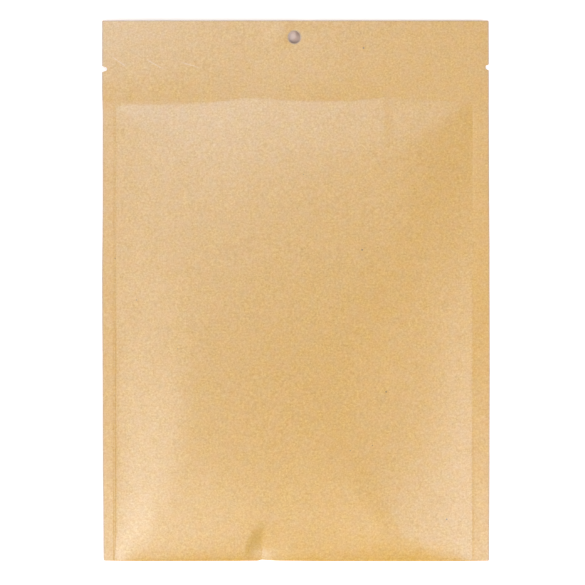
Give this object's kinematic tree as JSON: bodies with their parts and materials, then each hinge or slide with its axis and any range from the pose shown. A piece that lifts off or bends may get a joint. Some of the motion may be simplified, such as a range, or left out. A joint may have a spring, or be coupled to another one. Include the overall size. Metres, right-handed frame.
{
  "type": "brown paper pouch",
  "caption": "Flat brown paper pouch, slightly filled and lying on its back: sealed sides, a folded bottom and a wide flat header with a round hang hole and a tear notch at each edge.",
  "frame": {"origin": "centre of the footprint, on the surface that the pouch lies on", "axes": "+Z out of the front panel, away from the surface; +Y toward the header; +X to the right as the front is seen"},
  "size_m": [0.2, 0.28, 0.009],
  "materials": {
    "brown_paper": "satin"
  },
  "bodies": {
    "root": {"pouch": "brown_paper"}
  },
  "joints": []
}
